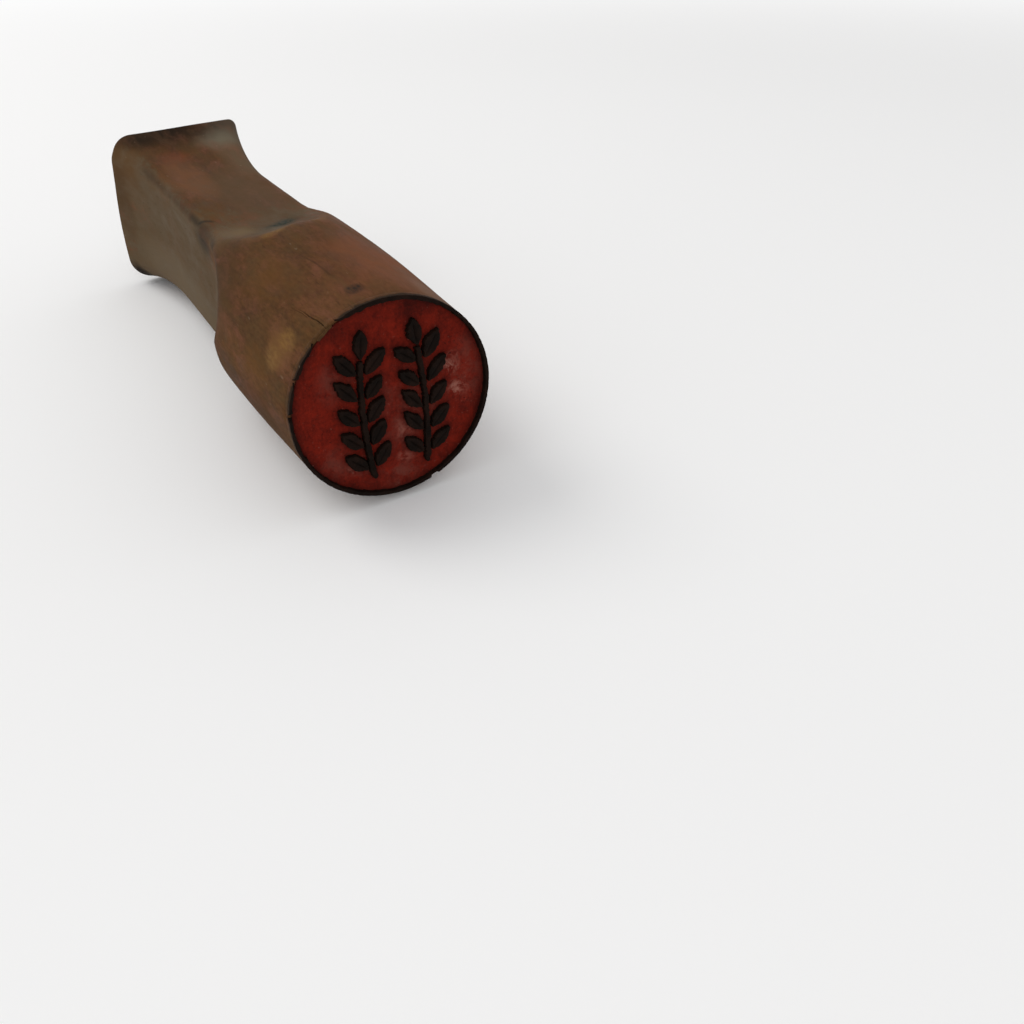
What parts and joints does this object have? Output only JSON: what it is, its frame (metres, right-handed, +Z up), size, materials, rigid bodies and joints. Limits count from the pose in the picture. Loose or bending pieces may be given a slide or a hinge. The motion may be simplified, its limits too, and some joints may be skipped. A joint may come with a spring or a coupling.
{
  "type": "wooden hand stamp",
  "caption": "Round-barrelled wooden hand stamp with a scooped, square-waisted grip that flares to a flat end, and a red relief die inside a worn raised border.",
  "frame": {"origin": "centre of the bounding box in X and Y, on the ground that the stamp lies on", "axes": "+Y along the stamp's axis from the printing face to the grip end, +Z up, +X to the right as the printing face is looked at"},
  "size_m": [0.0388, 0.136, 0.0388],
  "materials": {
    "handle_wood": "turned and knife-carved hardwood, darkened by handling, satin",
    "red_ground": "cut-back ground covered in dried red ink, matte",
    "black_relief": "raised wood coated with dried black ink, semi-matte"
  },
  "bodies": {
    "root": {"handle": "handle_wood", "die_plate": "red_ground", "rim_main_arc": "black_relief", "rim_lower_arc": "black_relief", "rim_worn_arcs": "black_relief", "left_stem": "black_relief", "left_leaves": "black_relief", "right_stem": "black_relief", "right_leaves": "black_relief"}
  },
  "joints": []
}
